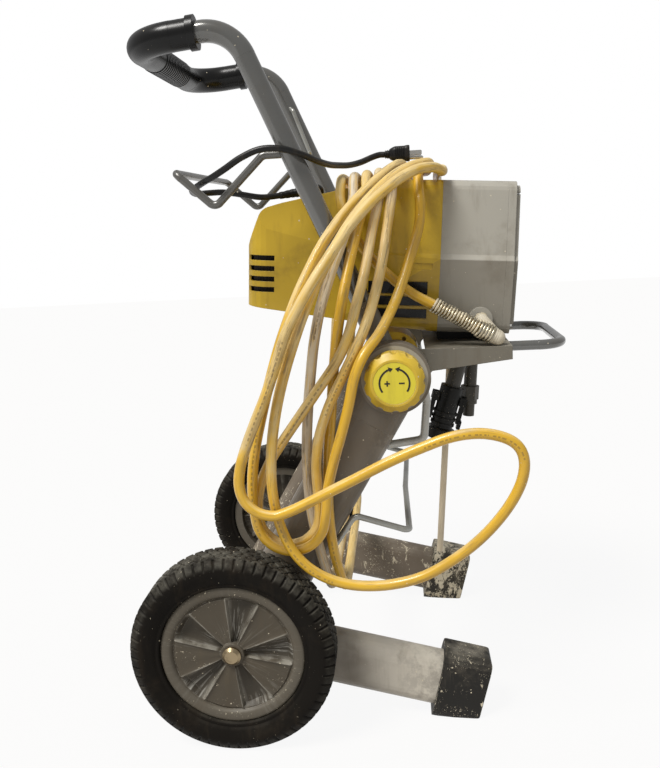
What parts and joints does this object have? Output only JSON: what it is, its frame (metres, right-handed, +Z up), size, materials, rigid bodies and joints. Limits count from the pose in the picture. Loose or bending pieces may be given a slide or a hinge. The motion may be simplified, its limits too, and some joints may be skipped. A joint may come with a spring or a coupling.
{
  "type": "airless paint sprayer",
  "caption": "Airless paint sprayer on a wheeled cart: tilting motor and pump unit with bent handle, tray, carrying loop, suction coupling, drain tube and a hose draped in loops.",
  "frame": {"origin": "on the floor, under the middle of the machine from tyre to carrying loop and between the wheels", "axes": "+X forwards from the wheels towards the feet and carrying loop, +Y towards the far side with the controls, +Z up; the hose outlet and lock knob are on the -Y side"},
  "size_m": [0.5641, 0.5366, 0.8851],
  "materials": {
    "frame_paint": "worn satin grey paint",
    "cast_paint": "pale grey paint on castings, scuffed",
    "bright_steel": "plain turned steel",
    "wire_grey": "grey coated wire",
    "yellow_plastic": "moulded yellow, dusty",
    "dial_plate": "printed yellow plate",
    "label_black": "blank black plates",
    "black_rubber": "moulded rubber with paint specks",
    "tyre_rubber": "dusty tyre rubber",
    "rim_plastic": "grey moulded plastic with paint dust",
    "black_plastic": "black nylon",
    "cap_brass": "dull brass",
    "hose_yellow": "smooth yellow hose, in parts coated with cream paint",
    "cream_plastic": "cream tube and dried paint",
    "rotor_copper": "windings and laminations"
  },
  "bodies": {
    "cart": {"side_frame_near": "frame_paint", "side_frame_far": "frame_paint", "leg_head_near": "cast_paint", "leg_head_far": "cast_paint", "axle": "bright_steel", "pivot_shaft": "bright_steel", "pivot_drum": "yellow_plastic", "foot_cap_near": "black_rubber", "foot_cap_far": "black_rubber", "pail_bracket": "wire_grey", "leg_hooks": "wire_grey", "hub_caps": "cap_brass"},
    "wheel_near": {"tyre_near": "tyre_rubber", "rim_near": "rim_plastic"},
    "wheel_far": {"tyre_far": "tyre_rubber", "rim_far": "rim_plastic"},
    "lock_knob_turning": {"lock_knob": "yellow_plastic", "knob_dial": "dial_plate"},
    "rotor": {"armature": "rotor_copper", "cooling_fan": "black_plastic"},
    "crank": {"drive_gear": "bright_steel", "crankshaft": "bright_steel"},
    "rod": {"connecting_rod": "bright_steel"},
    "piston": {"piston_rod": "bright_steel"},
    "lever_front": {"coupling_lever_front": "black_plastic"},
    "lever_rear": {"coupling_lever_rear": "black_plastic"},
    "pressure_control": {"pressure_knob": "black_plastic"},
    "prime_control": {"prime_knob": "black_plastic"},
    "switch_rocker": {"power_switch": "black_plastic"},
    "sprayer": {"hose_loops": "hose_yellow", "spring_guard": "cream_plastic", "handle_tube": "frame_paint", "handle_grip": "black_rubber", "cord_rack": "wire_grey", "gun_hook": "bright_steel", "handle_hub_near": "frame_paint", "handle_hub_far": "frame_paint", "tray": "frame_paint", "front_loop": "frame_paint", "shroud": "yellow_plastic", "label_plates": "label_black", "gear_housing": "cast_paint", "front_cover": "cast_paint", "cover_screws": "bright_steel", "motor_can": "bright_steel", "motor_bearings": "bright_steel", "pump_base": "black_plastic", "pump_block": "cast_paint", "pump_cylinder": "cast_paint", "foot_valve": "bright_steel", "coupling_body": "black_plastic", "drain_tube": "cream_plastic", "outlet_fitting": "bright_steel", "hose_run": "hose_yellow", "hose_tail": "hose_yellow", "hose_end": "cream_plastic", "mains_lead": "black_rubber", "mains_plug": "black_rubber", "lead_gland": "black_rubber"}
  },
  "joints": [
    {"name": "tilt", "type": "hinge", "parent": "cart", "child": "sprayer", "pos_m": [0.056, 0, 0.452], "axis": [0, -1, 0], "range_deg": [0, 20]},
    {"name": "wheel_near_spin", "type": "hinge", "parent": "cart", "child": "wheel_near", "pos_m": [-0.155, -0.2415, 0.127], "axis": [0, 1, 0], "continuous": true},
    {"name": "wheel_far_spin", "type": "hinge", "parent": "cart", "child": "wheel_far", "pos_m": [-0.155, 0.2415, 0.127], "axis": [0, 1, 0], "continuous": true},
    {"name": "lock_knob_turn", "type": "hinge", "parent": "cart", "child": "lock_knob_turning", "pos_m": [0.056, -0.214, 0.452], "axis": [0, -1, 0], "range_deg": [-90, 90]},
    {"name": "crank_spin", "type": "hinge", "parent": "sprayer", "child": "crank", "pos_m": [0.16648, 0, 0.61945], "axis": [0.9971, 0, -0.0767], "continuous": true},
    {"name": "rotor_spin", "type": "hinge", "parent": "sprayer", "child": "rotor", "pos_m": [0.01807, 0, 0.58072], "axis": [0.9971, 0, -0.0767], "continuous": true},
    {"name": "rod_turn", "type": "hinge", "parent": "crank", "child": "rod", "pos_m": [0.17652, 0, 0.60664], "axis": [0.9971, 0, -0.0767], "continuous": true},
    {"name": "piston_stroke", "type": "slide", "parent": "sprayer", "child": "piston", "axis": [0.0767, 0, 0.9971], "range_m": [0, 0.024]},
    {"name": "lever_front_swing", "type": "hinge", "parent": "sprayer", "child": "lever_front", "pos_m": [0.14881, -0.024, 0.38089], "axis": [0, -1, 0], "range_deg": [0, 90]},
    {"name": "lever_rear_swing", "type": "hinge", "parent": "sprayer", "child": "lever_rear", "pos_m": [0.1096, -0.024, 0.39288], "axis": [0, 1, 0], "range_deg": [0, 90]},
    {"name": "pressure_turn", "type": "hinge", "parent": "sprayer", "child": "pressure_control", "pos_m": [0.1608, 0.115, 0.54567], "axis": [0, 1, 0], "range_deg": [0, 270]},
    {"name": "prime_turn", "type": "hinge", "parent": "sprayer", "child": "prime_control", "pos_m": [0.15788, 0.115, 0.50778], "axis": [0, 1, 0], "range_deg": [0, 90]},
    {"name": "switch_rock", "type": "hinge", "parent": "sprayer", "child": "switch_rocker", "pos_m": [0.05572, 0.1078, 0.54874], "axis": [0.9971, 0, -0.0767], "range_deg": [-8, 8]}
  ],
  "couplings": [
    {"joint": "rotor_spin", "follows": "crank_spin", "ratio": -5.6},
    {"joint": "rod_turn", "follows": "crank_spin", "ratio": -1}
  ]
}
